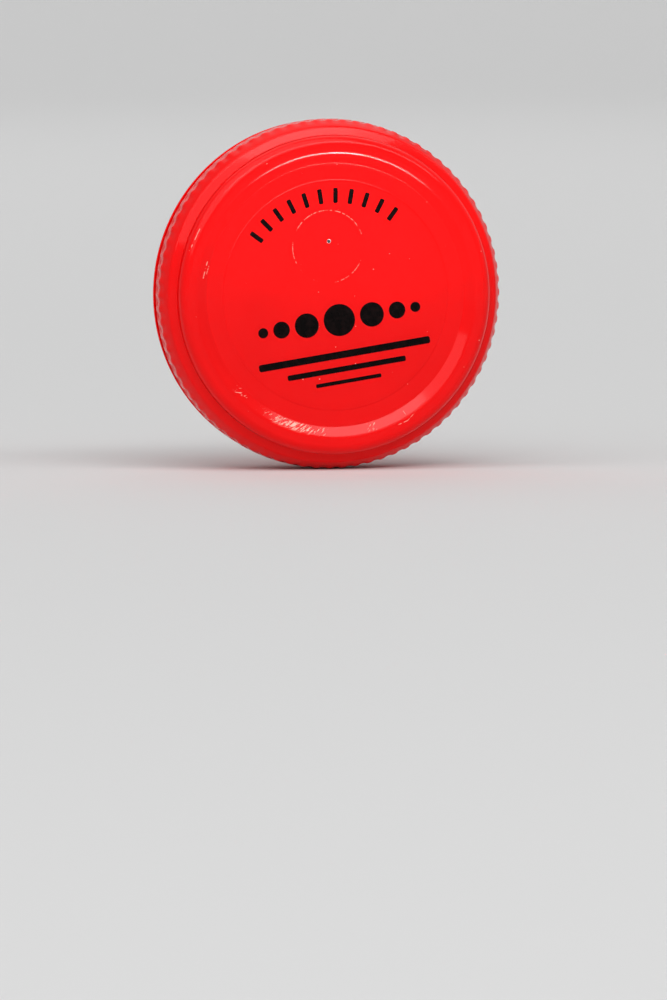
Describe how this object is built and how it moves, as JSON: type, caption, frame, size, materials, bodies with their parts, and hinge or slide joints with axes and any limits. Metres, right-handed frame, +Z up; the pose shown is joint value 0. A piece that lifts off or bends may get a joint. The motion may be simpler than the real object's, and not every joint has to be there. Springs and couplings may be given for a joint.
{
  "type": "screw-lid tin pinhole camera",
  "caption": "Flat round tin on its rim, made into a pinhole camera: screw lid with stepped edge, fluted grip and pinhole, shallow base with photographic paper inside.",
  "frame": {"origin": "under the middle of the tin, where its fluted rim rests, at the bottom centre of its box", "axes": "-Y out of the lid's printed face, +Y out of the base's foot, +Z up, X across; the tin's axis is along Y and the pinhole is above it"},
  "size_m": [0.083, 0.025, 0.083],
  "materials": {
    "lid_lacquer": "gloss red lacquer on tinplate, matt black sprayed inside",
    "base_lacquer": "gloss red lacquer on tinplate, matt black sprayed inside",
    "foil": "bare drink-can foil",
    "black_tape": "black electrical tape",
    "foam": "matt black foam",
    "paper": "resin-coated photographic paper, satin"
  },
  "bodies": {
    "tin": {"tin_base": "base_lacquer", "photo_paper": "paper"},
    "seal": {"light_seal": "foam"},
    "lid": {"lid_shell": "lid_lacquer", "pinhole_foil": "foil", "foil_tape": "black_tape"}
  },
  "joints": [
    {"name": "lid_travel", "type": "slide", "parent": "tin", "child": "seal", "axis": [0, -1, 0], "range_m": [0, 0.01042]},
    {"name": "lid_turn", "type": "hinge", "parent": "seal", "child": "lid", "pos_m": [0, 0, 0.0415], "axis": [0, -1, 0], "range_deg": [0, 1170]}
  ],
  "couplings": [
    {"joint": "lid_travel", "follows": "lid_turn", "m_per_rad": 0.0005093}
  ]
}
